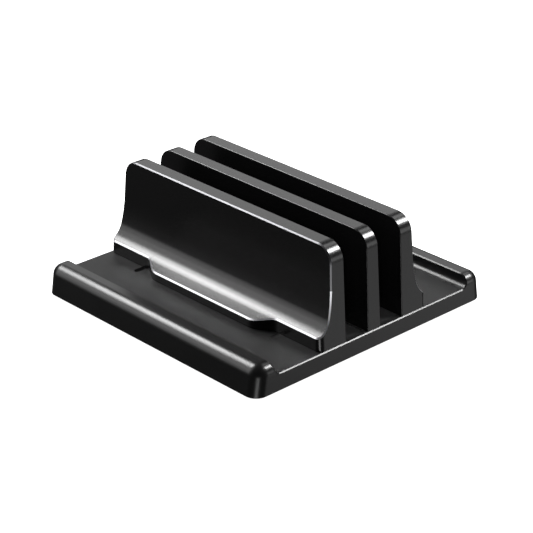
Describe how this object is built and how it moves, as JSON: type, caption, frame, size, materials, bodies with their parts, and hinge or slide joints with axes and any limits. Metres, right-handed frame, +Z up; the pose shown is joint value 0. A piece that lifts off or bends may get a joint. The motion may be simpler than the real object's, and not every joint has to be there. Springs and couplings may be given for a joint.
{
  "type": "vertical laptop stand",
  "caption": "Black two-slot desk stand that holds closed laptops on edge between three upright fins on a ribbed tray; the outer fins slide to set the slot widths.",
  "frame": {"origin": "on the ground plane, under the middle of the tray", "axes": "+X across the slots towards the rear fin, +Y along the fins towards their far ends, +Z up"},
  "size_m": [0.19, 0.1884, 0.073],
  "materials": {
    "tray_plastic": "satin moulded black, fine grain",
    "fin_plastic": "satin moulded black, fine grain",
    "silicone": "matt silicone",
    "foot_rubber": "matt rubber",
    "screw_steel": "bright zinc plate",
    "washer_steel": "bright zinc plate",
    "insert_brass": "turned brass"
  },
  "bodies": {
    "tray": {"base_tray": "tray_plastic", "middle_fin": "fin_plastic", "middle_fin_front_liner": "silicone", "middle_fin_rear_liner": "silicone", "front_slot_mat": "silicone", "rear_slot_mat": "silicone", "rubber_foot_front_near": "foot_rubber", "rubber_foot_rear_near": "foot_rubber", "rubber_foot_front_far": "foot_rubber", "rubber_foot_rear_far": "foot_rubber", "middle_fin_insert_left": "insert_brass", "middle_fin_flat_washer_left": "washer_steel", "middle_fin_spring_washer_left": "washer_steel", "middle_fin_screw_left": "screw_steel", "middle_fin_insert_right": "insert_brass", "middle_fin_flat_washer_right": "washer_steel", "middle_fin_spring_washer_right": "washer_steel", "middle_fin_screw_right": "screw_steel"},
    "front_fin": {"front_fin": "fin_plastic", "front_fin_liner": "silicone", "front_fin_insert_left": "insert_brass", "front_fin_flat_washer_left": "washer_steel", "front_fin_spring_washer_left": "washer_steel", "front_fin_screw_left": "screw_steel", "front_fin_insert_right": "insert_brass", "front_fin_flat_washer_right": "washer_steel", "front_fin_spring_washer_right": "washer_steel", "front_fin_screw_right": "screw_steel"},
    "rear_fin": {"rear_fin": "fin_plastic", "rear_fin_liner": "silicone", "rear_fin_insert_left": "insert_brass", "rear_fin_flat_washer_left": "washer_steel", "rear_fin_spring_washer_left": "washer_steel", "rear_fin_screw_left": "screw_steel", "rear_fin_insert_right": "insert_brass", "rear_fin_flat_washer_right": "washer_steel", "rear_fin_spring_washer_right": "washer_steel", "rear_fin_screw_right": "screw_steel"}
  },
  "joints": [
    {"name": "front_fin_slide", "type": "slide", "parent": "tray", "child": "front_fin", "axis": [-1, 0, 0], "range_m": [-0.006, 0.0168]},
    {"name": "rear_fin_slide", "type": "slide", "parent": "tray", "child": "rear_fin", "axis": [1, 0, 0], "range_m": [-0.006, 0.0168]}
  ]
}
